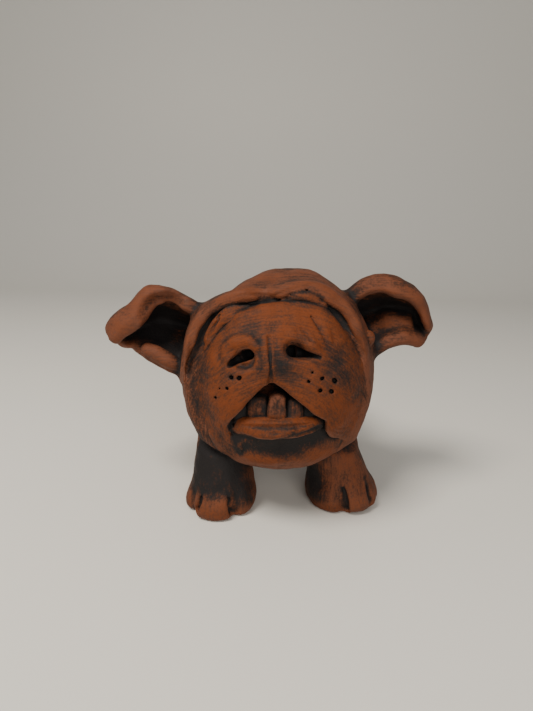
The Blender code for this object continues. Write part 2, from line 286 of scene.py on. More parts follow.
class Clay:
    """A piece of the figure as a field of distances in millimetres."""

    def __init__(self, node, step, soften, band=BAND):
        self.node = node
        self.step = step
        self.band = band
        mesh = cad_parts[node].data
        mesh.calc_loop_triangles()
        points = np.empty(len(mesh.vertices) * 3, np.float32)
        mesh.vertices.foreach_get("co", points)
        points = points.reshape(-1, 3) / MM
        faces = np.empty(len(mesh.loop_triangles) * 3, np.int32)
        mesh.loop_triangles.foreach_get("vertices", faces)
        grid = openvdb.FloatGrid.createLevelSetFromPolygons(
            points.astype(np.float32),
            triangles=faces.reshape(-1, 3).astype(np.uint32),
            transform=openvdb.createLinearTransform(voxelSize=step),
            halfWidth=band / step,
        )
        self.low = np.floor((points.min(0) - band) / step).astype(int)
        high = np.ceil((points.max(0) + band) / step).astype(int)
        self.field = np.empty(high - self.low + 1, np.float32)
        grid.copyToArray(self.field, ijk=tuple(int(i) for i in self.low))
        self.field = blurred(self.field, soften / step)

    def axes(self):
        """The places of the grid's points along x, y and z."""
        return [(self.low[i] + np.arange(self.field.shape[i])) * self.step for i in range(3)]

    def rows(self, spans):
        """The three axes of a stretch of the grid, each along its own direction."""
        x, y, z = (axis[span].astype(np.float32) for axis, span in zip(self.axes(), spans))
        return x[:, None, None], y[None, :, None], z[None, None, :]

    def part(self, lowest, highest):
        """The stretch of the grid between two corners."""
        first = np.floor(lowest / self.step).astype(int) - self.low
        last = np.ceil(highest / self.step).astype(int) - self.low + 1
        size = self.field.shape
        first = [int(np.clip(first[i], 0, size[i] - 1)) for i in range(3)]
        last = [int(np.clip(last[i], 1, size[i])) for i in range(3)]
        return tuple(slice(a, b) for a, b in zip(first, last))

    def rope(self, points, radii, margin):
        """Distances to a round rope along the points, near it."""
        line = points if len(points) > 1 else np.repeat(points, 2, axis=0)
        sizes = spread(radii, len(line))
        room = max(radii) + margin
        spans = self.part(line.min(0) - room, line.max(0) + room)
        x, y, z = self.rows(spans)
        away = np.full(self.field[spans].shape, BAND, np.float32)
        for a, b, near, far in zip(line, line[1:], sizes, sizes[1:]):
            run = b - a
            t = ((x - a[0]) * run[0] + (y - a[1]) * run[1] + (z - a[2]) * run[2]) / max(run @ run, TINY)
            t = np.clip(t, 0, 1)
            gap = (x - a[0] - t * run[0]) ** 2 + (y - a[1] - t * run[1]) ** 2 + (z - a[2] - t * run[2]) ** 2
            away = np.minimum(away, np.sqrt(gap) - near - (far - near) * t)
        return spans, away

    def add(self, points, radii, blend=1.0):
        """Lay a roll of clay along the points."""
        spans, away = self.rope(points, radii, blend + ROPE_MARGIN)
        self.field[spans] = low_of(self.field[spans], away, blend)

    def cut(self, points, radii, blend=0.6):
        """Take out the track of a round tool along the points."""
        spans, away = self.rope(points, radii, blend + ROPE_MARGIN)
        self.field[spans] = high_of(self.field[spans], -away, blend)

    def read(self, x, y, z):
        """The distances at the crossings of three rows of places."""
        return read_grid(self.field, [row / self.step - self.low[i] for i, row in enumerate((x, y, z))])

    def box(self):
        """The lowest and the highest corner of the grid."""
        return self.low * self.step, (self.low + np.array(self.field.shape) - 1) * self.step

    def volume(self):
        """The clay of the piece in cubic centimetres."""
        share = np.clip(0.5 - self.field / self.step, 0, 1)
        return round(float(share.sum()) * self.step**3 / CUBIC_MM, 1)


print("a piece of clay has:", ", ".join(name for name in vars(Clay) if not name.startswith("_")))

# %% [markdown]
# ## Sight lines
# A mark that is seen at a pixel of the photograph lies somewhere on that pixel's sight line. Where the
# line meets the packed solid is its place on the clay. So marks are placed by pixels, and their depth
# is measured.

# %% Sight lines
PIXEL_STEPS = 4
trees = {}
all_corners = []
all_faces = []
for node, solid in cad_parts.items():
    corners = [corner.co.copy() for corner in solid.data.vertices]
    faces = [tuple(face.vertices) for face in solid.data.polygons]
    trees[node] = BVHTree.FromPolygons(corners, faces)
    all_faces += [tuple(i + len(all_corners) for i in face) for face in faces]
    all_corners += corners
trees["dog"] = BVHTree.FromPolygons(all_corners, all_faces)


def sight(x, y):
    """The direction of the sight line through a pixel."""
    offset = image_right * (x - FRAME_WIDTH / 2) + image_down * (y - FRAME_HEIGHT / 2)
    return (ahead + offset / FOCAL_PIXELS).normalized()


def seen(node, pixels, lift=0.0, span=(0, 0), shift=(0, 0)):
    """Where the sight lines through some pixels meet a piece, in millimetres, raised from it by the lift.

    With a span, the skin is taken from both sides of the pixel, as if it ran straight across a hole. A shift
    moves the point sideways in the picture and keeps its depth.
    """
    points = []
    for x, y in along(pixels, PIXEL_STEPS):
        lines = [sight(x + side * span[0], y + side * span[1]) for side in (-1, 1)]
        hits = [trees[node].ray_cast(EYE, line)[:2] for line in lines]
        hits = [(point, outward) for point, outward in hits if point]
        if hits:
            depth = sum((point - EYE).length for point, _ in hits) / len(hits)
            outward = sum((outward for _, outward in hits), Vector()).normalized()
            place = EYE + sight(x + shift[0], y + shift[1]) * depth
            points.append(np.array(place / MM + outward * lift))
    return np.array(points)


print("solids to aim at:", len(trees))

# %% [markdown]
# ## Marks along the sight lines
# Once clay has been added, the packed solid no longer tells where the skin is. Fine marks therefore
# feel for the sculpted skin along their sight line. A poke leaves a hole, and a score leaves a groove
# of even depth.

# %% Pokes and scores
NEAREST = 200.0
FARTHEST = 420.0
FEELING_STEP = 0.25
feelers = np.arange(NEAREST, FARTHEST, FEELING_STEP)


def felt(nodes, pixel):
    """Where the sight line through a pixel first meets the clay of some pieces, and the line's direction."""
    line = np.array(sight(*pixel))
    points = np.array(EYE) / MM + feelers[:, None] * line
    distance = [read_spots(dog[node].field, points / dog[node].step - dog[node].low) for node in nodes]
    return points[np.argmax(np.min(distance, axis=0) < 0)], line


def poke(nodes, pixels, radii, depths, blend=0.4):
    """Push a round stick into some pieces along the sight lines, at every pixel of a line."""
    spots = along(pixels, PIXEL_STEPS)
    skins = [felt(nodes, spot) for spot in spots]
    for (point, line), radius, depth in zip(skins, spread(radii, len(spots)), spread(depths, len(spots))):
        for node in nodes:
            dog[node].cut(np.array([point - line, point + line * depth]), [radius], blend)


def score(nodes, pixels, radii, depth, blend=0.4):
    """Draw a round tool through some pieces along a line of pixels, at an even depth."""
    skins = [felt(nodes, spot) for spot in along(pixels, PIXEL_STEPS)]
    points = np.array([point + line * depth for point, line in skins])
    for node in nodes:
        dog[node].cut(points, radii, blend)


print("places felt on a sight line:", len(feelers))

# %% [markdown]
# ## Blocking in
# Every piece starts as the packed solid, rounded a little. Each has the step of its grid and its
# rounding in millimetres. Fine pieces get a fine grid and the plain back of the dog a coarse one, so
# that faces go where the eye goes. The head and the brows need their distances farther out, for the
# wide smear between them.

# %% Pieces as fields
GRIDS = {
    "muzzle": (0.6, 1.3),
    "head": (1.2, 2.0),
    "body": (1.5, 2.4),
    "lower_jaw": (0.8, 1.2),
    "lower_lip": (0.6, 0.9),
    "right_brow": (0.7, 1.2),
    "left_brow": (0.7, 1.2),
    "right_eyelid": (0.5, 0.6),
    "left_eyelid": (0.5, 0.6),
    "right_ear": (0.8, 1.3),
    "left_ear": (0.8, 1.3),
    "left_ear_pellet": (0.5, 0.6),
    "front_right_leg": (0.8, 1.2),
    "front_left_leg": (0.8, 1.2),
    "rear_right_leg": (1.3, 1.6),
    "rear_left_leg": (1.3, 1.6),
    "tail": (1.0, 1.2),
}
TEETH = [f"tooth_{number}" for number in range(1, 6)]
GRIDS |= {node: (0.5, 1.0) for node in TEETH}
WIDE_BANDS = {"head": 15.0, "right_brow": 15.0, "left_brow": 15.0}

dog = {}
for node, (step, soften) in GRIDS.items():
    dog[node] = Clay(node, step, soften, WIDE_BANDS.get(node, BAND))
print("clay in cm3:", {node: clay.volume() for node, clay in dog.items()})

# %% [markdown]
# ## Teeth
# Five plump pellets stand shoulder to shoulder behind the lip. Each is swollen and given a round top.
# Then it is cut back halfway to its neighbours, and a hairline is left between them.

# %% Teeth
PLUMPNESS = 1.2
TOOTH_DOME = 6.5
DOME_ROUNDING = 1.0
TOOTH_GAP = 0.25
GAP_ROUNDING = 0.8
teeth = [dog[node] for node in TEETH]
for tooth in teeth:
    tooth.field -= PLUMPNESS
    corners = np.array([corner.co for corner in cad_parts[tooth.node].data.vertices]) / MM
    half_width = np.ptp(corners[:, 0]) / 2 + PLUMPNESS
    across = (tooth.axes()[0] - corners[:, 0].min() + PLUMPNESS) / half_width - 1
    upward = np.maximum(tooth.axes()[2] - corners[:, 2].max() + TOOTH_DOME, 0) / (TOOTH_DOME + PLUMPNESS)
    dome = (np.cbrt(np.abs(across[:, None, None]) ** 3 + upward[None, None, :] ** 3) - 1) * half_width
    tooth.field = high_of(tooth.field, dome.astype(np.float32), DOME_ROUNDING)
plump = [tooth.field.copy() for tooth in teeth]
for number, tooth in enumerate(teeth):
    for beside in (number - 1, number + 1):
        if 0 <= beside < len(teeth):
            other = teeth[beside]
            places = [axis / other.step - low for axis, low in zip(tooth.axes(), other.low)]
            halfway = (plump[number] - read_grid(plump[beside], places) + TOOTH_GAP) / 2
            tooth.field = high_of(tooth.field, halfway, GAP_ROUNDING)
print("teeth in cm3:", [tooth.volume() for tooth in teeth])

# %% [markdown]
# ## Trimmed to the outline
# Seen from the camera, the clay must not stand out beyond the outline in the photograph. Each outline
# is a line of pixels around a group of pieces. It reaches under its neighbours, so that only the outer
# edge counts.

# %% Outlines
HEAD_OUTLINE = [
    (160, 330), (198, 303), (205, 301), (212, 299), (222, 296), (232, 292.5), (247, 281), (262, 273.5),
    (276, 270.5), (290, 269.5), (310, 272), (320, 276.5), (330, 283), (343, 294), (352, 290), (400, 310),
    (375, 356), (374.5, 370), (371.5, 390.5), (367, 406.5), (359, 429.5), (354, 439), (350, 520), (205, 520),
    (199, 436), (191, 415.5), (185, 395), (181.5, 377), (180, 370), (150, 372),
]
RIGHT_EAR_OUTLINE = [
    (198, 303), (180, 292), (170, 288.5), (158, 285.5), (150, 285), (143, 287), (130, 302), (110, 317),
    (105, 327), (107.5, 340), (115, 348), (121, 348.5), (133, 347), (138, 354), (150, 365), (164, 372),
    (174.5, 377), (180, 384), (230, 380), (230, 310),
]
LEFT_EAR_OUTLINE = [
    (339, 295), (360.5, 279.5), (373, 273.5), (385, 272.5), (399, 277.5), (414, 286), (425.5, 295),
    (429, 308), (432, 326), (433.5, 341), (425, 347.5), (419.5, 351.5), (405, 347), (390, 350),
    (372, 364), (340, 380), (310, 340), (320, 300),
]
RIGHT_LEG_OUTLINE = [
    (198, 420), (199, 438), (194.5, 459), (193, 480), (185, 497), (184.5, 505), (188, 512), (197, 516),
    (212, 523.5), (224.5, 523), (233, 519), (244, 518), (256, 513.5), (257, 505), (253, 487), (252.5, 469),
    (262, 420),
]
LEFT_LEG_OUTLINE = [
    (298, 420), (306, 469), (307, 497), (315, 512), (325.5, 517), (336, 517), (343, 514), (351.5, 512),
    (363.5, 510.5), (370.5, 505), (374, 504), (379, 497), (373.5, 481.5), (366, 466), (357.5, 448),
    (356, 420),
]
BROW_OUTLINE = [
    (150, 330), (198, 303), (212, 298.5), (232, 293), (244, 292.5), (254, 295), (262, 299), (268, 304),
    (290, 310), (290, 420), (150, 420),
]
OUTLINES = [HEAD_OUTLINE, RIGHT_EAR_OUTLINE, LEFT_EAR_OUTLINE, RIGHT_LEG_OUTLINE, LEFT_LEG_OUTLINE]
print("points in the outlines:", [len(outline) for outline in OUTLINES])

# %% Inside and outside
def beyond(outline):
    """How many pixels every pixel lies outside a closed outline."""
    u, v = np.meshgrid(np.arange(FRAME_WIDTH, dtype=float), np.arange(FRAME_HEIGHT, dtype=float))
    away = np.full(u.shape, np.inf)
    within = np.zeros(u.shape, bool)
    for (ax, ay), (bx, by) in zip(outline, outline[1:] + outline[:1]):
        run_x, run_y = bx - ax, by - ay
        t = np.clip(((u - ax) * run_x + (v - ay) * run_y) / (run_x**2 + run_y**2), 0, 1)
        away = np.minimum(away, np.hypot(u - ax - t * run_x, v - ay - t * run_y))
        if run_y:
            within ^= ((ay > v) != (by > v)) & (u < ax + (v - ay) * run_x / run_y)
    return np.where(within, -away, away)


dog_away = np.min([beyond(outline) for outline in OUTLINES], axis=0)
print("pixels inside the outlines:", int((dog_away < 0).sum()))

# %% [markdown]
# ## Shaving
# Clay outside an outline is shaved off along the sight lines, as with a wire. The edge that this leaves
# is rounded. The rounding eats a quarter of its width, so the cut stands that much farther out. The
# right brow is shaved alone first, because the crown behind it is higher.

# %% Shaving
TRIM_ROUNDING = 3.0
NEAR_SKIN = 0.95 * BAND


def shaved(clay, field, away):
    """A piece's field without the clay that stands out beyond an outline."""
    near = np.nonzero(np.abs(field) < NEAR_SKIN)
    offset = np.stack([axis[i] for axis, i in zip(clay.axes(), near)], 1) - np.array(EYE) / MM
    depth = offset @ np.array(ahead)
    u = FRAME_WIDTH / 2 + FOCAL_PIXELS * (offset @ np.array(image_right)) / depth
    v = FRAME_HEIGHT / 2 + FOCAL_PIXELS * (offset @ np.array(image_down)) / depth
    column, row = np.clip(u.astype(int), 0, FRAME_WIDTH - 2), np.clip(v.astype(int), 0, FRAME_HEIGHT - 2)
    right, low = np.clip(u - column, 0, 1), np.clip(v - row, 0, 1)
    upper = away[row, column] * (1 - right) + away[row, column + 1] * right
    lower = away[row + 1, column] * (1 - right) + away[row + 1, column + 1] * right
    outside = (upper * (1 - low) + lower * low) * depth / FOCAL_PIXELS - TRIM_ROUNDING / 4
    field = field.copy()
    field[near] = high_of(field[near], outside.astype(np.float32), TRIM_ROUNDING)
    return field


right_brow = dog["right_brow"]
right_brow.field = shaved(right_brow, right_brow.field, beyond(BROW_OUTLINE))
print("right brow:", right_brow.volume(), "cm3 after shaving")

# %% [markdown]
# ## Pressed joints
# The maker scored the edges, wetted them and pressed the pieces together, smearing clay over the seam.
# Where a pair has a wide blend the seam is gone; where it has none, an open crease stays. The brows are
# smeared into the crown on their outer side only, and stand open like hoods toward the eyes. The muzzle
# runs into the cheeks below and stands free above, and it runs into the jaw at the right cheek only. So
# three of the blends change from place to place.

# %% Blends that change over the face
FACE_MIDDLE = (7.0, 104.0)
BROW_LINE = [
    (-46, 78), (-45, 90), (-43.5, 104), (-41, 118), (-34, 130), (-23, 136), (-9, 138), (1, 137),
    (10, 141), (21, 143), (34, 138), (44, 126), (50, 111), (53, 97),
]
BROW_OPEN, BROW_SMEAR = 0.8, 12.0
SMEAR_START, SMEAR_END = -1.0, 3.0
CHEEK_OPEN, CHEEK_SMEAR = 1.2, 9.0
CHEEK_TOP, CHEEK_BOTTOM = 122, 100
CORNER_OPEN, CORNER_SMEAR = 0.8, 7.8
CORNER_START, CORNER_END = -19, -29


def ease(values, start, end):
    """0 at the start, 1 at the end, and smooth between."""
    share = np.clip((values - start) / (end - start), 0, 1)
    return share * share * (3 - 2 * share)


def around_face(x, z):
    """A point's turn around the middle of the face, as seen from the front, and its distance from there."""
    turn = np.arctan2(z - FACE_MIDDLE[1], x - FACE_MIDDLE[0])
    turn = np.where(turn < -math.pi / 2, turn + 2 * math.pi, turn)
    return turn, np.hypot(x - FACE_MIDDLE[0], z - FACE_MIDDLE[1])


brow_turns, brow_reach = around_face(*np.array(BROW_LINE, float).T)
brow_order = np.argsort(brow_turns)


def brow_side(x, z):
    """How far a point lies outside the brow's line, as seen from the front."""
    turn, distance = around_face(x, z)
    return distance - np.interp(turn, brow_turns[brow_order], brow_reach[brow_order])


def hooded(x, y, z):
    """The blend of a brow and the head: wide outside the brow's line, narrow inside."""
    return BROW_OPEN + (BROW_SMEAR - BROW_OPEN) * ease(brow_side(x, z), SMEAR_START, SMEAR_END) + 0 * y


def cheek(x, y, z):
    """The blend of the muzzle and the head: wide low on the cheeks, narrow under the brows."""
    return CHEEK_OPEN + (CHEEK_SMEAR - CHEEK_OPEN) * ease(z, CHEEK_TOP, CHEEK_BOTTOM) + 0 * (x + y)


def corner(x, y, z):
    """The blend of the muzzle and the jaw: wide at the right cheek, narrow in the mouth and to the left."""
    return CORNER_OPEN + (CORNER_SMEAR - CORNER_OPEN) * ease(x, CORNER_START, CORNER_END) + 0 * (y + z)


print("brow line from", BROW_LINE[0], "to", BROW_LINE[-1], "mm")

# %% [markdown]
# ## The hood
# Over the brows lies a sheet of clay that was pulled down from the crown. It is thick at the brow's
# line, thins out toward the back, and dips in a notch over the nose. The brow rolls themselves are
# pressed thinner first, and their lower ends run out into the cheeks.

# %% Brows and hood
BROW_TRIM = 1.4
BROW_FADE = 4.0
BROW_ENDS = {"right_brow": (112, 84), "left_brow": (122, 100)}
HOOD_THICKNESS = 3.2
HOOD_WIDTH = 9.0
HOOD_TOP, HOOD_END = 118, 92
HOOD_LIP = 1.0
HOOD_ROUNDING = 4.0
NOTCH_PLACE = -4.0
NOTCH_WIDTH = 8.0
NOTCH_DEPTH = 0.9

for node, (fade_start, fade_end) in BROW_ENDS.items():
    z = dog[node].axes()[2][None, None, :].astype(np.float32)
    dog[node].field = dog[node].field + BROW_TRIM + BROW_FADE * ease(z, fade_start, fade_end)


def hood(head, x, z):
    """A sheet of clay from the brow's line back over the head, thick at the line and thinning out."""
    side = brow_side(x, z)
    thickness = HOOD_THICKNESS * (1 - ease(side, 0, HOOD_WIDTH)) * (1 - ease(z, HOOD_TOP, HOOD_END))
    thickness = thickness * (1 - NOTCH_DEPTH * np.exp(-(((x - NOTCH_PLACE) / NOTCH_WIDTH) ** 2)))
    return high_of(head - thickness, -side - HOOD_LIP + 0 * head, HOOD_ROUNDING)


print("brows in cm3:", {node: dog[node].volume() for node in BROW_ENDS})

# %% [markdown]
# ## One skin, many pieces
# All pieces are joined into one skin, and every piece keeps its share of it, up to halfway to its
# neighbours. Pair by pair, the seams would not meet where three pieces come together. The shares lap
# over each other a little, so that no slit opens between their meshes. Around the dark mouth the lap is
# thinner.

# %% Joints
JOINTS = [
    ("head", "body", 9.0),
    ("head", "right_ear", 6.0),
    ("head", "left_ear", 6.0),
    ("head", "right_brow", hooded),
    ("head", "left_brow", hooded),
    ("head", "muzzle", cheek),
    ("head", "lower_jaw", 6.0),
    ("head", "front_right_leg", 5.0),
    ("head", "front_left_leg", 5.0),
    ("body", "front_right_leg", 7.0),
    ("body", "front_left_leg", 7.0),
    ("body", "rear_right_leg", 8.0),
    ("body", "rear_left_leg", 8.0),
    ("body", "tail", 6.0),
    ("right_brow", "right_ear", 5.0),
    ("left_brow", "left_ear", 5.0),
    ("right_brow", "left_brow", 2.0),
    ("left_ear", "left_ear_pellet", 1.0),
    ("muzzle", "lower_jaw", corner),
    ("lower_jaw", "lower_lip", 1.2),
    ("lower_jaw", "front_right_leg", 2.0),
    ("lower_jaw", "front_left_leg", 2.0),
]
print("joints:", len(JOINTS))

# %% A piece among its neighbours
OVERLAP = 2.5
THIN_OVERLAP = 0.5
THIN_OVERLAPS = {"lower_jaw", "lower_lip"}


def neighbours(node):
    """The fields of a piece and its neighbours on the piece's own grid, and the border halfway to them."""
    clay = dog[node]
    around = {node: (tuple(slice(0, size) for size in clay.field.shape), clay.field)}
    border = np.full_like(clay.field, -clay.band)
    for name, other in dog.items():
        lowest, highest = other.box()
        if name == node or np.any(lowest > clay.box()[1]) or np.any(highest < clay.box()[0]):
            continue
        spans = clay.part(lowest, highest)
        field = other.read(*(axis.ravel() for axis in clay.rows(spans)))
        around[name] = (spans, field)
        overlap = THIN_OVERLAP if {node, name} & THIN_OVERLAPS else OVERLAP
        border[spans] = np.maximum(border[spans], (clay.field[spans] - field - overlap) / 2)
    return around, border


print("pieces around the muzzle:", len(neighbours("muzzle")[0]) - 1)

# %% Joining and pressing
HOODED = ("head", "right_brow", "left_brow", "right_ear", "left_ear")
HOOD_BLEND = 4.0


def inside(spans, part):
    """A stretch of the grid, counted from the start of a longer one."""
    return tuple(slice(b.start - a.start, b.stop - a.start) for a, b in zip(spans, part))


def joined(clay, around):
    """The field of a piece together with all its neighbours, with a fillet at every joint."""
    together = clay.field.copy()
    for first, second, blend in JOINTS:
        if first not in around or second not in around:
            continue
        (one_spans, one), (two_spans, two) = around[first], around[second]
        part = [(max(a.start, b.start), min(a.stop, b.stop)) for a, b in zip(one_spans, two_spans)]
        if any(start >= stop for start, stop in part):
            continue
        part = tuple(slice(start, stop) for start, stop in part)
        width = blend(*clay.rows(part)) if callable(blend) else blend
        pair = low_of(one[inside(one_spans, part)], two[inside(two_spans, part)], width)
        together[part] = np.minimum(together[part], pair)
    return together


def press(node):
    """A piece's share of the common skin."""
    clay = dog[node]
    around, border = neighbours(node)
    together = joined(clay, around)
    if node in HOODED:
        spans, head = around["head"]
        x, _, z = clay.rows(spans)
        together[spans] = low_of(together[spans], hood(head, x, z), HOOD_BLEND)
    return np.maximum(shaved(clay, together, dog_away), border)


pressed = {node: press(node) for node in dog}
for node, field in pressed.items():
    dog[node].field = field
print("pressed clay in cm3:", round(sum(clay.volume() for clay in dog.values())))

# %% [markdown]
# ## The nose
# The muzzle is one thick plate with a soft bulb for a nose. Its marks were made wet: a finger for the
# nostrils and a knife tip for the creases. The bores of the packed solid are filled first, the wings
# are laid on as rolls, and the nostrils are then pushed in where the photograph shows them.

# %% Nose
muzzle = dog["muzzle"]
CROWN_OF_NOSE = [(244, 316), (262, 311), (280, 307.5), (300, 307), (318, 312), (332, 323), (342, 338)]
muzzle.add(seen("muzzle", CROWN_OF_NOSE, lift=-3.6), radii=[4.5, 5.5, 5.5, 5.5, 5.5, 5.0, 4.0], blend=4.0)
ACROSS_HOLE = (0, 15)
BORES = [(246, 358), (290, 350)]
BORE_START, BORE_END = -6.5, -14.0
for middle in BORES:
    bore = [seen("muzzle", [middle], lift=depth, span=ACROSS_HOLE) for depth in (BORE_START, BORE_END)]
    muzzle.add(np.vstack(bore), radii=[5.2, 5.8], blend=2.0)
RIGHT_WING = [(225, 358), (227, 348), (236, 341), (248, 340.5), (257, 346)]
muzzle.add(seen("muzzle", RIGHT_WING, lift=-0.9), radii=[1.4, 2.6, 3.2, 2.8, 1.6], blend=2.5)
LEFT_WING = [(298, 334), (307, 340), (314, 346), (322, 353)]
muzzle.add(seen("muzzle", LEFT_WING, lift=-1.6, span=ACROSS_HOLE), radii=[2.4, 4.0, 3.6, 1.6], blend=2.0)
print("nose laid on:", muzzle.volume(), "cm3")

# %% Nostrils and creases
RIGHT_NOSTRIL = [(229.5, 365), (234, 361.5), (240, 358), (245, 355.5), (249, 354.5)]
poke(["muzzle"], RIGHT_NOSTRIL, radii=[1.3, 2.2, 2.8, 3.1, 2.7], depths=[0.8, 2.0, 3.5, 8.0, 11.0])
LEFT_SLIT = [(293, 351.5), (300, 352.8), (307, 354.4), (314, 355.8), (320.5, 357)]
poke(["muzzle"], LEFT_SLIT, radii=[2.9, 2.4, 1.5, 0.9, 0.4], depths=[9.0, 6.0, 3.5, 2.0, 1.0])
LEFT_HOLE = [(290, 348), (290.5, 352)]
poke(["muzzle"], LEFT_HOLE, radii=[2.7, 2.8], depths=[11.0])
NOSE_CREASE = [(303, 311), (311, 317), (318, 326), (324, 336), (328, 345)]
muzzle.cut(seen("muzzle", NOSE_CREASE, lift=0.1), radii=[0.4, 0.8, 0.9, 0.8, 0.4], blend=0.5)
CREASE_RIDGE = [(315.5, 314), (322.5, 323), (328.5, 333), (332.5, 342)]
muzzle.add(seen("muzzle", CREASE_RIDGE, lift=-0.9), radii=[1.2, 1.6, 1.5, 1.0], blend=1.5)
WRINKLES = [[(302, 328), (306, 334)], [(306, 331), (311, 340)], [(297, 330), (300, 335)]]
for wrinkle in WRINKLES:
    muzzle.cut(seen("muzzle", wrinkle, lift=0.35), radii=[0.6])
print("nostrils and creases cut:", muzzle.volume(), "cm3")

# %% [markdown]
# ## The upper lips
# The groove under the nose is one pull of a needle between two soft ridges. A pointed stick made the
# whisker holes, each a little slanted, and a comb-like scratch roughens the corner of the left lip.

# %% Groove and upper lips
GROOVE = [(269, 336), (269.6, 346), (270.2, 358), (270.8, 370), (271.2, 384)]
RIGHT_OF_GROOVE = [(x - 5, y) for x, y in GROOVE]
BESIDE_GROOVE = (6, 0)
muzzle.add(seen("muzzle", GROOVE, lift=-1.5, span=BESIDE_GROOVE), radii=[1.6, 2.4, 2.4, 2.4, 1.2], blend=2.0)
muzzle.add(seen("muzzle", RIGHT_OF_GROOVE, lift=-1.5), radii=[1.2, 1.8, 2.0, 2.2, 1.2], blend=2.0)
score(["muzzle"], GROOVE, radii=[0.45, 0.6, 0.65, 0.7, 1.2], depth=0.5, blend=0.3)
WHISKERS = [(231, 377), (240, 377.5), (226.6, 388), (220, 388), (215, 397)]
WHISKERS += [(313, 372), (308.4, 381), (322.2, 378), (334, 380), (320.5, 390), (331, 391)]
WHISKER_WIDTHS = [0.4, 0.5, 0.5, 0.4, 0.4, 0.4, 0.45, 0.35, 0.4, 0.35, 0.4]
WHISKER_SLANT = 0.8
for number, (x, y) in enumerate(WHISKERS):
    slanted = (x + (-1) ** number * WHISKER_SLANT, y + WHISKER_SLANT)
    poke(["muzzle"], [(x, y), slanted], radii=[WHISKER_WIDTHS[number]], depths=[3.0], blend=0.2)
SCRATCHES = [
    [(327, 421), (336, 427), (346, 427), (355, 422)],
    [(327, 425), (337, 431.5), (347, 431), (354, 428)],
    [(331, 432), (338, 436), (347, 436), (352, 433)],
    [(322, 415), (332, 421), (345, 421)],
]
for scratch in SCRATCHES:
    muzzle.cut(seen("muzzle", scratch, lift=0.25), radii=[0.3, 0.6, 0.6, 0.3], blend=0.4)
print("whisker holes:", len(WHISKERS), "scratches:", len(SCRATCHES))

# %% [markdown]
# ## The lower lip and the chin
# Below the teeth a ledge of clay was laid on in two rolls, and the chin under it was hollowed with a
# thumb, so that a rim stands out along the bottom of the face. At the right corner of the mouth a deep
# crevice stayed.

# %% Lower lip and chin
lip = dog["lower_lip"]
LEDGE_LINE = [(238, 424.5), (252, 427), (268, 428), (284, 427.5), (300, 426), (314, 423)]
lip.cut(seen("lower_lip", LEDGE_LINE, lift=0.5), radii=[0.8, 1.8, 2.0, 2.0, 1.8, 0.8], blend=0.5)
SECOND_ROLL = [(246, 431.5), (258, 435), (272, 436.5), (284, 435), (294, 431)]
lip.add(seen("lower_lip", SECOND_ROLL, lift=-0.8), radii=[0.8, 1.8, 2.0, 1.6, 0.8], blend=0.8)
LIP_ENDS = [[(298, 436), (308, 433), (318, 428)], [(229, 430), (231, 425), (233, 421)]]
for line in LIP_ENDS:
    lip.cut(seen("lower_lip", line, lift=1.2), radii=[2.0, 3.2, 2.4], blend=1.0)
TOOL_LINES = [[(262, 431.5), (275, 433), (286, 431.5)], [(252, 421), (270, 419.5), (288, 420.5)]]
for line in TOOL_LINES:
    lip.cut(seen("lower_lip", line, lift=0.3), radii=[0.4, 0.8, 0.4], blend=0.4)
jaw = dog["lower_jaw"]
CHIN_HOLLOW = [(250, 449), (266, 452), (284, 451.5), (302, 447), (318, 440)]
jaw.cut(seen("lower_jaw", CHIN_HOLLOW, lift=7.2), radii=[8.0, 9.6, 10.0, 9.6, 8.0], blend=3.0)
MOUTH_CORNER = [(228.5, 424), (231.5, 433), (236, 444), (241, 453)]
score(["lower_jaw", "muzzle", "lower_lip"], MOUTH_CORNER, radii=[1.4, 2.0, 1.8, 0.7], depth=1.8)
print("lip:", lip.volume(), "cm3, jaw:", jaw.volume(), "cm3")

# %% [markdown]
# ## The eyes
# The eyes are shut: only folded strips of lid show in the crease under the brows. Each strip has a line
# pressed along it, the right one trails off down the cheek, and its outer corner stayed open as a slit.

# %% Eyelids
right_lid = dog["right_eyelid"]
left_lid = dog["left_eyelid"]
RIGHT_LID = [(240, 308), (229, 311), (219, 317), (212, 325), (206, 336)]
LEFT_LID = [(290, 301.5), (299, 300), (309, 300.5), (318, 303.5)]
LID_TRAIL = np.array([(0, 0, 0), (-1.5, 0.5, -5), (-3.0, 1.5, -10)])
lid_roll = seen("right_eyelid", RIGHT_LID, lift=-1.2, shift=(3, 5))
right_lid.add(lid_roll, radii=[1.0, 2.6, 3.0, 2.8, 1.6], blend=1.5)
lid_end = seen("right_eyelid", RIGHT_LID, lift=-1.2, shift=(2, 4))[-1]
right_lid.add(lid_end + LID_TRAIL, radii=[2.2, 1.6, 0.6], blend=1.2)
left_lid.add(seen("left_eyelid", LEFT_LID, lift=-0.9, shift=(-1, -3)), radii=[0.8, 1.8, 1.8, 0.8], blend=1.5)
lid_line = seen("right_eyelid", RIGHT_LID, lift=0.1, shift=(1.5, 2))
right_lid.cut(lid_line, radii=[0.3, 0.7, 0.7, 0.6, 0.3], blend=0.4)
left_lid.cut(seen("left_eyelid", LEFT_LID, lift=0.4, shift=(0, -2)), radii=[0.3, 0.7, 0.7, 0.3], blend=0.4)
EYE_SLIT = [(217, 318), (221.5, 312.5)]
right_lid.cut(seen("right_eyelid", EYE_SLIT, lift=-0.3), radii=[0.9], blend=0.3)
UNDER_BROW = [(284, 297.5), (293, 293.5), (304, 291), (315, 291.5), (323, 298)]
score(["left_brow", "left_eyelid", "head"], UNDER_BROW, radii=[0.7, 1.2, 1.4, 1.2, 0.7], depth=0.6)
NOTCH = [(262, 306), (264, 298), (268, 291)]
for node in ("right_brow", "left_brow", "head"):
    dog[node].cut(seen("dog", NOTCH, lift=0.6), radii=[2.4, 1.8, 0.6], blend=1.0)
print("lids:", right_lid.volume(), "and", left_lid.volume(), "cm3")

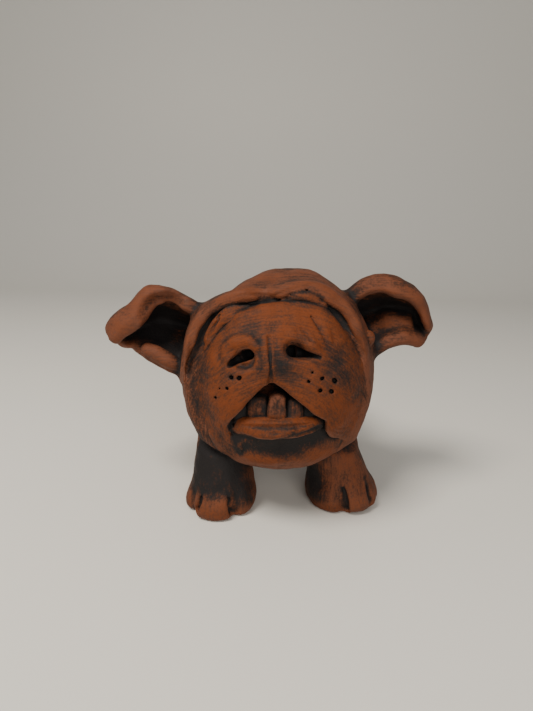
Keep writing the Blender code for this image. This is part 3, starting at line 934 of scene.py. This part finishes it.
# %% [markdown]
# ## Toes
# Each front foot is one lump of clay, split into three toes by two deep cuts of a wooden knife. A wide
# shallow cut rounds the toes over, and a narrow deep one parts them.

# %% Toes
TOE_CUTS = {
    "front_right_leg": [[(203, 492), (199, 502), (194.5, 513)], [(228, 494), (231, 506), (234, 519)]],
    "front_left_leg": [[(343, 489), (344.5, 500), (345, 511)], [(364.5, 478), (368.5, 491), (372.5, 503.5)]],
}
for node, lines in TOE_CUTS.items():
    for line in lines:
        dog[node].cut(seen(node, line, lift=1.0), radii=[0.8, 2.4, 3.0], blend=1.0)
        dog[node].cut(seen(node, line, lift=-1.4), radii=[0.6, 1.4, 1.9], blend=0.4)
print("toe cuts:", sum(len(lines) for lines in TOE_CUTS.values()))

# %% [markdown]
# ## Ears
# The ears are cupped slabs. The floor of the left one is a thick sloping pad with a stray lump on it,
# and a dot of clay sits at its root. The lower rim of the right one is a separate roll.

# %% Ears
left_ear = dog["left_ear"]
EAR_FLOOR = [(373, 319), (388, 314.5), (404, 314)]
FLOOR_DROPS = (0, 5, 10)
for drop in FLOOR_DROPS:
    row = [(x, y + drop) for x, y in EAR_FLOOR]
    left_ear.add(seen("left_ear", row, lift=0.5), radii=[4.5, 5.5, 4.5], blend=5.0)
EAR_LUMP = [(384, 312)]
left_ear.add(seen("left_ear", EAR_LUMP, lift=5.5), radii=[1.4], blend=1.0)
LOWER_ROLL = [(147, 349.5), (156, 354), (168, 361), (178, 365)]
dog["right_ear"].add(seen("right_ear", LOWER_ROLL, lift=0.3), radii=[3.4, 4.2, 4.4, 3.6], blend=1.2)
PELLET_TOP = [(368, 338)]
pellet_top = seen("left_ear_pellet", PELLET_TOP, lift=-1.5, shift=(-3, -1))
dog["left_ear_pellet"].add(pellet_top, radii=[2.4], blend=1.0)
print("ears:", dog["right_ear"].volume(), "and", left_ear.volume(), "cm3")

# %% [markdown]
# ## Hand marks
# Fingers leave shallow dents about a fingertip wide, and a wooden tool leaves finer ripples. Both come
# from one field of smooth random numbers for the whole dog, so they run on across the joints. A bump in
# the material would not change the outline, so the dents go into the clay. The soles are pressed flat.

# %% Hand marks
HAND_MARKS = ((16.0, 0.60, 11), (7.0, 0.35, 12), (3.0, 0.18, 13))
DENT_GAIN = 1.9
SOLE_HEIGHT = 0.1
SOLE_ROUNDING = 1.5
ROOM_LOW = np.array((-130.0, -125.0, -20.0))
ROOM_SIZE = np.array((260.0, 250.0, 200.0))


def rolling(count, places):
    """A matrix that reads a row of numbers at any places along a smooth curve, for dents without corners."""
    first = np.clip(places.astype(int) - 1, 0, count - 4)
    t = places - first - 1
    shares = ((1 - t) ** 3, 3 * t**3 - 6 * t**2 + 4, -3 * t**3 + 3 * t**2 + 3 * t + 1, t**3)
    matrix = np.zeros((len(places), count), np.float32)
    rows = np.arange(len(places))
    for i, share in enumerate(shares):
        matrix[rows, first + i] = share / 6
    return matrix


def dents(clay, size, seed):
    """Smooth random heights on a piece's grid, alike for all pieces with the same seed."""
    counts = np.ceil(ROOM_SIZE / size).astype(int) + 4
    field = np.random.default_rng(seed).standard_normal(counts).astype(np.float32)
    for i, axis in enumerate(clay.axes()):
        matrix = rolling(counts[i], (axis - ROOM_LOW[i]) / size + 1)
        field = np.moveaxis(np.tensordot(matrix, field, axes=(1, 0)), 0, 2)
    return field * DENT_GAIN


for clay in dog.values():
    for size, depth, seed in HAND_MARKS:
        if size > 2 * clay.step:
            clay.field = clay.field + depth * dents(clay, size, seed)
    height = clay.axes()[2][None, None, :].astype(np.float32)
    clay.field = high_of(clay.field, SOLE_HEIGHT - height, SOLE_ROUNDING)
print("hand marks in mm:", [(size, depth) for size, depth, _ in HAND_MARKS])

# %% [markdown]
# ## From fields to meshes
# The zero level of each field becomes an even mesh of four-sided faces. Every mesh takes the place of
# its packed solid. The jaw and the teeth, which stay dark, are listed apart for the stained finish below.

# %% Meshes
STAINED = ("lower_jaw", *TEETH)


def skin(clay):
    """The zero level of a piece's field as a mesh in metres."""
    grid = openvdb.FloatGrid(BAND)
    grid.copyFromArray(np.ascontiguousarray(clay.field), ijk=tuple(int(i) for i in clay.low))
    grid.transform = openvdb.createLinearTransform(voxelSize=clay.step)
    points, quads = grid.convertToQuads(isovalue=0.0)
    points = np.array(points, np.float32) * MM
    quads = np.array(quads, np.int32)[:, ::-1]
    mesh = bpy.data.meshes.new(clay.node + "_clay")
    mesh.vertices.add(len(points))
    mesh.vertices.foreach_set("co", points.ravel())
    mesh.loops.add(quads.size)
    mesh.loops.foreach_set("vertex_index", quads.ravel())
    mesh.polygons.add(len(quads))
    mesh.polygons.foreach_set("loop_start", np.arange(0, quads.size, 4, dtype=np.int32))
    mesh.update(calc_edges=True)
    mesh.validate()
    mesh.shade_smooth()
    return mesh


pieces = {}
for node, clay in dog.items():
    piece = bpy.data.objects.new(node + "_clay", skin(clay))
    bpy.context.collection.objects.link(piece)
    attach(piece, "root")
    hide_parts(node)
    "stained_clay" if node in STAINED else "terracotta"
    pieces[node] = piece
print("faces:", {node: len(piece.data.polygons) for node, piece in pieces.items()})

# %% [markdown]
# ## Where the wash stays
# A dark wash is brushed over the whole figure and wiped off again. It stays in every hollow and goes
# from every ridge. A blurred copy of the whole solid tells hollows from ridges: more than half clay
# around a point of the skin is a hollow, less than half is a ridge. A narrow blur finds creases, and a
# wide one finds sheltered sides.

# %% Hollows and ridges
WHOLE_MARGIN = 12
CREASE_BLUR = 2.0
SHELTER_BLUR = 6.0
whole_low = np.floor(np.array(cad_box[0]) / MM - WHOLE_MARGIN).astype(int)
whole_high = np.ceil(np.array(cad_box[1]) / MM + WHOLE_MARGIN).astype(int)
whole_axes = [np.arange(a, b + 1, dtype=float) for a, b in zip(whole_low, whole_high)]
filled = np.zeros([len(axis) for axis in whole_axes], np.float32)
for clay in dog.values():
    lowest, highest = clay.box()
    first = np.maximum(np.ceil(lowest).astype(int), whole_low)
    last = np.minimum(np.floor(highest).astype(int), whole_high)
    spans = tuple(slice(a, b) for a, b in zip(first - whole_low, last - whole_low + 1))
    distance = clay.read(*(axis[span] for axis, span in zip(whole_axes, spans)))
    filled[spans] = np.maximum(filled[spans], np.clip(0.5 - distance, 0, 1))

crease_fill = blurred(filled, CREASE_BLUR)
shelter_fill = blurred(filled, SHELTER_BLUR)
print("the whole dog:", round(float(filled.sum()) / CUBIC_MM), "cm3")

# %% [markdown]
# ## Brushed and wiped
# The wash was not wiped evenly. Whole patches stayed dark, such as the chin and the inside of the ears,
# and the wet sponge brought the orange back on the ridges. Some strokes are painted shade instead: on
# the upper and inner legs under the head, down the right side of the face and under the brows. A few
# are painted light: on the toes and on the floor of the left ear. Each stroke below is a line of pixels
# laid on the clay along the sight lines, with its width in millimetres and its strength: above zero it
# leaves wash or painted shade, below zero it wipes down to the clay or paints light. Right and left are
# the dog's own.

# %% Strokes on the mouth
STROKES = {
    "hollow of the chin": ([(256, 447), (267, 449), (285, 448), (303, 444), (316, 438)], 6.5, 0.75),
    "rim under the chin": ([(252, 460), (270, 463)], 3, -0.9),
    "rim of the left jaw": ([(312, 458), (330, 453), (344, 446)], 3.5, -0.7),
    "top of the lip": ([(243, 421), (258, 420), (275, 419.5), (295, 419.5), (310, 419.5)], 2.6, -1.3),
    "line along the lip": ([(246, 427), (268, 428.5), (290, 428), (312, 425)], 1.1, 0.7),
    "second roll of the lip": ([(246, 433), (272, 437), (292, 433)], 2.2, 0.6),
    "under the lip": ([(250, 437), (272, 440), (296, 436), (318, 429)], 2.2, 0.5),
    "left end of the lip": ([(296, 433), (306, 431), (316, 427)], 2.5, 0.6),
    "right end of the lip": ([(230, 428), (232, 422)], 2.5, 0.8),
    "right corner of the mouth": (MOUTH_CORNER, 1.8, 0.9),
    "around the right corner": ([(232, 430), (236, 440), (240, 450)], 2.5, 0.8),
    "jaw by the right corner": ([(242, 438), (244, 446)], 3, 0.7),
    "outer right lip": ([(205, 400), (214, 415), (222, 430), (228, 445)], 6, 0.1),
    "edge of the right lip": ([(245, 395), (238, 403), (230, 412)], 5, -0.35),
    "left lip": ([(318, 400), (332, 408), (346, 420), (345, 434)], 8, -0.45),
}
print("strokes on the mouth:", len(STROKES))

# %% Strokes on the nose and the brows
STROKES |= {
    "groove": ([(269, 338), (270.2, 358), (271, 380)], 0.7, 1.0),
    "right of the groove": ([(257, 345), (261, 356), (261, 368)], 4.5, 0.8),
    "left of the groove": ([(279, 352), (280, 362), (282, 374)], 5, 0.6),
    "edge of the right nostril": ([(229, 366), (235, 365), (241, 364)], 3, -0.6),
    "edge of the left nostril": ([(300, 353), (310, 355)], 2, -0.3),
    "below the left nostril": ([(285, 362), (300, 363), (316, 361)], 3.5, 0.4),
    "around the right wing": ([(227, 346), (224, 358), (230, 370)], 4.5, 0.6),
    "beside the left wing": ([(330, 348), (338, 356)], 5, 0.3),
    "right side of the nose": ([(228, 330), (245, 318), (262, 312)], 5, -0.2),
    "left side of the nose": ([(300, 318), (312, 330), (318, 345)], 4, -0.3),
    "right cheek": ([(205, 363), (203, 378)], 7, 0.35),
    "over the right whiskers": ([(210, 372), (216, 378), (222, 380)], 6, 0.3),
    "left cheek": ([(340, 368), (350, 380), (352, 396)], 8, 0.3),
    "front of the left cheek": ([(345, 372), (352, 385)], 7, 0.25),
    # The right edge of the face is painted shade on the side of the head beside the muzzle.
    "right edge of the face": ([(184, 372), (189, 392), (194, 418), (200, 436)], 5, 0.6),
    "crown": ([(240, 288), (262, 279), (290, 276), (315, 279), (335, 290)], 9, -0.45),
    "middle of the crown": ([(270, 284)], 5, -0.6),
    "right brow": ([(240, 290), (215, 298), (198, 314)], 4, 0.3),
    "left brow": ([(272, 294), (300, 283), (325, 288), (345, 310), (358, 340)], 3.5, -0.25),
    # Under the left brow: painted shadow of the brow's overhang, with the wash in its scored line.
    "under the left brow": (UNDER_BROW, 1.6, 0.8),
    # Over the right lid: painted shadow under the right brow's hood, with the wash in its crease.
    "over the right lid": ([(203, 326), (212, 315), (221, 307), (232, 303), (248, 305), (256, 307)], 2, 0.5),
    "notch between the brows": ([(264, 299), (267, 303)], 2.5, 0.8),
}
print("strokes with the nose and the brows:", len(STROKES))

# %% Strokes on the legs and the ears
STROKES |= {
    # On the upper and inner legs, where the head overhangs, the dark strokes are painted shade.
    "front of the right leg": ([(205, 452), (206, 470), (212, 488)], 10, 0.75),
    "right shin": ([(206, 472), (208, 480)], 6, 0.5),
    "outside of the right leg": ([(199, 455), (196, 472), (195, 488)], 8, 0.6),
    "inside of the right leg": ([(228, 462), (236, 480), (246, 497)], 9, 1.1),
    # The wiped toes of the right foot are painted light.
    "right toes": ([(197, 502), (206, 512), (216, 515), (226, 512)], 4.5, -0.55),
    "inner right toe": ([(241, 508), (250, 506)], 4, -0.2),
    "outer right toe": ([(188, 500)], 4, -0.2),
    # Painted shade on the inner left leg under the head.
    "inside of the left leg": ([(311, 470), (313, 488), (318, 500)], 9, 1.1),
    "front of the left leg": ([(345, 460), (356, 478), (362, 496)], 7, -0.2),
    # The wiped inner left toe is painted light.
    "inner left toe": ([(320, 506), (332, 510)], 4.5, -1.0),
    "hollow of the right ear": ([(165, 312), (160, 322), (155, 332)], 10, 0.9),
    "roll of the right ear": ([(150, 353), (162, 361), (174, 366)], 3.5, -0.45),
    "fold of the right ear": ([(150, 290), (138, 306), (120, 322), (110, 332)], 5, -0.15),
    "hollow of the left ear": ([(352, 318), (362, 308), (376, 300), (392, 301), (406, 310)], 3.5, 0.6),
    "end of the left hollow": ([(425, 325), (418, 322)], 3, 0.6),
    "lump in the left ear": ([(385, 314)], 3, -0.6),
    # The wiped floor of the left ear is painted light, where light falls into the cup.
    "floor of the left ear": ([(372, 322), (388, 318), (404, 316)], 6, -1.2),
    "front of the left floor": ([(372, 331), (388, 327), (404, 324)], 4, -0.8),
    "outer rim of the left ear": ([(408, 288), (420, 298), (427, 312)], 6, 0.4),
    "top of the left ear": ([(358, 290), (375, 283), (395, 284)], 6, 0.25),
    "roll of the left ear": ([(375, 352), (392, 340), (410, 337), (420, 340)], 4, 0.25),
    "pellet": ([(363, 336)], 4, -0.6),
}
TOE_WASH_WIDTH = 1.5
TOE_WASH = 0.9
STROKE_STEPS = 4
brush_lines = []
for pixels, width, strength in STROKES.values():
    brush_lines.append((along(seen("dog", pixels), STROKE_STEPS), width, strength))
for node, lines in TOE_CUTS.items():
    brush_lines += [(seen(node, line), TOE_WASH_WIDTH, TOE_WASH) for line in lines]
print("strokes in all:", len(brush_lines))

# %% [markdown]
# ## Paint on the skin
# Hollows, sheltered sides, undersides and strokes add up to one number at every point of the skin: how
# much wash it keeps, together with painted shade on the undersides and the painted shade and light of
# some strokes. A second number says how dusty the clay is, with a painted sheen on the tops that face
# up, and three more give the direction of the brush. They are kept with the mesh, so the material needs
# no picture.

# %% Brush and grain
BRUSH_REACH = 2.2
GRAIN_CENTRE = 60.0
GRAIN_REACH = 45.0
SIDEWAYS = ("right_ear", "left_ear", "left_ear_pellet", "rear_right_leg", "rear_left_leg")
UPRIGHT = ("front_right_leg", "front_left_leg", *TEETH)
LENGTHWISE = ("body", "tail")


def brushed(points):
    """How much wash and painted shade the strokes leave at some points, below zero where they wipe or paint
    light.
    """
    total = np.zeros(len(points), np.float32)
    for line, width, strength in brush_lines:
        room = BRUSH_REACH * width
        near = np.all((points > line.min(0) - room) & (points < line.max(0) + room), axis=1)
        away = np.full(int(near.sum()), np.inf)
        for spot in line:
            away = np.minimum(away, ((points[near] - spot) ** 2).sum(1))
        total[near] += strength * np.exp(-away / width**2)
    return total


def grain(node, points):
    """Places on the clay with their first axis along the brush, straight or around the face."""
    x, y, z = points.T
    if node in SIDEWAYS:
        return np.stack([x, y, z], 1)
    if node in UPRIGHT:
        return np.stack([z, x, y], 1)
    if node in LENGTHWISE:
        return np.stack([y, x, z], 1)
    turn = np.arctan2(x - FACE_MIDDLE[0], z - GRAIN_CENTRE)
    return np.stack([turn * GRAIN_REACH, y, np.hypot(x - FACE_MIDDLE[0], z - GRAIN_CENTRE)], 1)


print("pieces with straight grain:", len(SIDEWAYS + UPRIGHT + LENGTHWISE))

# %% Paint
HOLLOW_SHARE = 1.7
SHELTER_SHARE = 0.9
# Undersides get darker as painted shade.
UNDERSIDE_SHADE = 0.35
SHADE_UNDER_START, SHADE_UNDER_END = 0.3, 1.0
# Tops that face up get the pale colour as painted sheen from above.
SHEEN_TOP_START, SHEEN_TOP_END = 0.25, 0.8
WASH_SHARES = {"right_ear": 0.3, "left_ear": 0.35, "right_brow": 0.15, "lower_jaw": -0.3}
WASH_SHARES |= {"front_right_leg": 0.1, "front_left_leg": 0.2}
WASH_SHARES |= {node: 0.05 for node in TEETH}
PLAIN_DUST = 0.35
DUSTY_SHARES = {"muzzle": 0.0, "lower_lip": 0.0, "right_eyelid": 0.0, "left_eyelid": 0.1, "lower_jaw": 0.1}
DUSTY_SHARES |= {"right_ear": 0.45, "left_ear": 0.45, "head": 0.6}
DUSTY_SHARES |= {node: 0.6 for node in TEETH}


def vectors(data, field, count):
    """A mesh's points or directions as rows of three numbers."""
    values = np.empty(count * 3, np.float32)
    data.foreach_get(field, values)
    return values.reshape(-1, 3)


for node, piece in pieces.items():
    mesh = piece.data
    points = vectors(mesh.vertices, "co", len(mesh.vertices)) / MM
    up = vectors(mesh.vertex_normals, "vector", len(mesh.vertices))[:, 2]
    hollow = read_spots(crease_fill, points - whole_low) * 2 - 1
    sheltered = read_spots(shelter_fill, points - whole_low) * 2 - 1
    strokes = brushed(points)
    wash = HOLLOW_SHARE * hollow + SHELTER_SHARE * sheltered + strokes
    # Facing down adds painted shade.
    wash += UNDERSIDE_SHADE * ease(-up, SHADE_UNDER_START, SHADE_UNDER_END) + WASH_SHARES.get(node, 0.0)
    # Each piece keeps its own dust, and tops that face up are paler still as painted sheen.
    dusty = np.maximum(DUSTY_SHARES.get(node, PLAIN_DUST), ease(up, SHEEN_TOP_START, SHEEN_TOP_END))
    dusty = dusty * np.clip(1 + strokes, 0, 1)
    for name, values in (("wash", wash), ("dusty", dusty)):
        mesh.attributes.new(name, "FLOAT", "POINT").data.foreach_set("value", values.astype(np.float32))
    lines = np.ascontiguousarray(grain(node, points), np.float32)
    mesh.attributes.new("grain", "FLOAT_VECTOR", "POINT").data.foreach_set("vector", lines.ravel())
print("painted points:", sum(len(piece.data.vertices) for piece in pieces.values()))

# %% [markdown]
# ## Shader sums
# The finish mixes a few colours by sums of masks. Written as nodes alone, such sums are hard to read,
# so one small class lets a socket be used in Python like a number. Any other node comes from its node
# method.

# %% Shader expressions
class Knob:
    """A socket of a shader, used in sums like a number."""

    def __init__(self, tree, socket=None):
        self.tree = tree
        self.socket = socket

    def node(self, kind, settings, sockets, output=0):
        """A new node with its settings, and with values or links on its sockets."""
        node = self.tree.nodes.new(kind)
        for name, value in settings.items():
            setattr(node, name, value)
        for place, value in sockets.items():
            if isinstance(value, Knob):
                self.tree.links.new(value.socket, node.inputs[place])
            else:
                node.inputs[place].default_value = value
        return Knob(self.tree, node.outputs[output])

    def maths(self, operation, first, second):
        """A Math node on two values."""
        return self.node("ShaderNodeMath", {"operation": operation}, {0: first, 1: second})

    def __add__(self, other):
        return self.maths("ADD", self, other)

    __radd__ = __add__

    def __mul__(self, other):
        return self.maths("MULTIPLY", self, other)

    __rmul__ = __mul__

    def __sub__(self, other):
        return self.maths("SUBTRACT", self, other)

    def __rsub__(self, other):
        return self.maths("SUBTRACT", other, self)

    def ramp(self, start, end):
        """0 below the start, 1 above the end, and smooth between."""
        sockets = {"Value": self, "From Min": start, "From Max": end}
        return self.node("ShaderNodeMapRange", {"interpolation_type": "SMOOTHSTEP"}, sockets)

    def mix(self, first, second):
        """One colour or the other by this share."""
        return self.node("ShaderNodeMix", {"data_type": "RGBA"}, {0: self, 6: first, 7: second}, output=2)


print("shader sums: +, - and *")

# %% [markdown]
# ## The finish
# Bare fired clay is a warm orange brown, dusty and paler where it was only touched in passing, and the
# same pale colour is a painted sheen on the tops. The wash is nearly black and stays in hollows, and the
# same dark colour is painted shade on the undersides. Clouds, brush streaks and specks break up the edge
# between them, so that it looks wiped by hand. The same streaks give the skin a fine relief.

# %% Colours and grain
ORANGE = (0.126, 0.0285, 0.0054, 1)
BROWN = (0.046, 0.0165, 0.0078, 1)
# The pale colour is dust, and also a painted sheen on the tops.
DUST_AND_SHEEN = (0.132, 0.050, 0.0285, 1)
# The dark colour is the wash, and also painted shade.
WASH_AND_SHADE = (0.0095, 0.0075, 0.0073, 1)
CLOUDS = {"Scale": 55.0, "Detail": 4.0}
STREAKS = {"Scale": 0.9, "Detail": 4.0, "Roughness": 0.65}
STREAK_STRETCH = (0.12, 0.6, 1.0)
SPECKS = {"Scale": 900.0, "Detail": 2.0}
MIDDLE_GREY = 0.5
CLOUD_SHARE, STREAK_SHARE, SPECK_SHARE = 2.2, 2.4, 1.4
BREAK_UP = 0.7
STAIN_START, STAIN_END = 0.05, 0.95
MOST_BARE = 0.25
RUB_START, RUB_END = -0.6, 0.75
DUST_AND_SHEEN_START, DUST_AND_SHEEN_END = -0.5, 0.3
STREAK_HEIGHT, CLOUD_HEIGHT, SPECK_HEIGHT = 0.6, 0.2, 0.3
RELIEF = {"Strength": 0.7, "Distance": 0.001}
CLAY_ROUGHNESS = 0.72
CLAY_SHEEN = 0.2
STAIN = 0.55
print("orange is", round(ORANGE[0] / WASH_AND_SHADE[0]), "times as red as the wash")

# %% Terracotta
def terracotta(name, darkness=0.0):
    """Rubbed clay, with an even stain of some darkness over it."""
    material = bpy.data.materials.new(name)
    material.use_nodes = True
    tree = material.node_tree
    start = Knob(tree)
    lines = start.node("ShaderNodeAttribute", {"attribute_name": "grain"}, {}, output=1)
    painted = start.node("ShaderNodeAttribute", {"attribute_name": "wash"}, {}, output=2)
    dusty = start.node("ShaderNodeAttribute", {"attribute_name": "dusty"}, {}, output=2)
    place = start.node("ShaderNodeTexCoord", {}, {}, output=3)
    stretched = start.node("ShaderNodeMapping", {}, {"Vector": lines, "Scale": STREAK_STRETCH})
    cloud = start.node("ShaderNodeTexNoise", {}, {"Vector": place, **CLOUDS})
    streaks = start.node("ShaderNodeTexNoise", {}, {"Vector": stretched, **STREAKS})
    specks = start.node("ShaderNodeTexNoise", {}, {"Vector": place, **SPECKS})
    broken = (cloud - MIDDLE_GREY) * CLOUD_SHARE + (streaks - MIDDLE_GREY) * STREAK_SHARE
    broken = broken + (specks - MIDDLE_GREY) * SPECK_SHARE
    wash = painted + broken * BREAK_UP + darkness
    bare = 0 - painted - darkness
    rub = (bare.maths("MINIMUM", bare, MOST_BARE) - broken).ramp(RUB_START, RUB_END)
    # The pale share is dust on each piece and painted sheen on the tops.
    dust = dusty * (0 - wash).ramp(DUST_AND_SHEEN_START, DUST_AND_SHEEN_END)
    colour = dust.mix(rub.mix(BROWN, ORANGE), DUST_AND_SHEEN)
    # The dark share is the wash in hollows, with painted shade on the undersides and from some strokes.
    colour = wash.ramp(STAIN_START, STAIN_END).mix(colour, WASH_AND_SHADE)
    height = streaks * STREAK_HEIGHT + cloud * CLOUD_HEIGHT + specks * SPECK_HEIGHT
    bump = start.node("ShaderNodeBump", {}, {"Height": height, **RELIEF})
    shader = tree.nodes["Principled BSDF"]
    tree.links.new(colour.socket, shader.inputs["Base Color"])
    tree.links.new(bump.socket, shader.inputs["Normal"])
    shader.inputs["Roughness"].default_value = CLAY_ROUGHNESS
    shader.inputs["Specular IOR Level"].default_value = CLAY_SHEEN
    return material


clay_finish = terracotta("rubbed_terracotta")
stained_finish = terracotta("stained_terracotta", STAIN)
for node, piece in pieces.items():
    piece.data.materials.append(stained_finish if node in STAINED else clay_finish)
print("finishes:", clay_finish.name, stained_finish.name)

# %% [markdown]
# ## The box
# The dressed dog must stay within the box of the packed model, because other parts rely on that size.
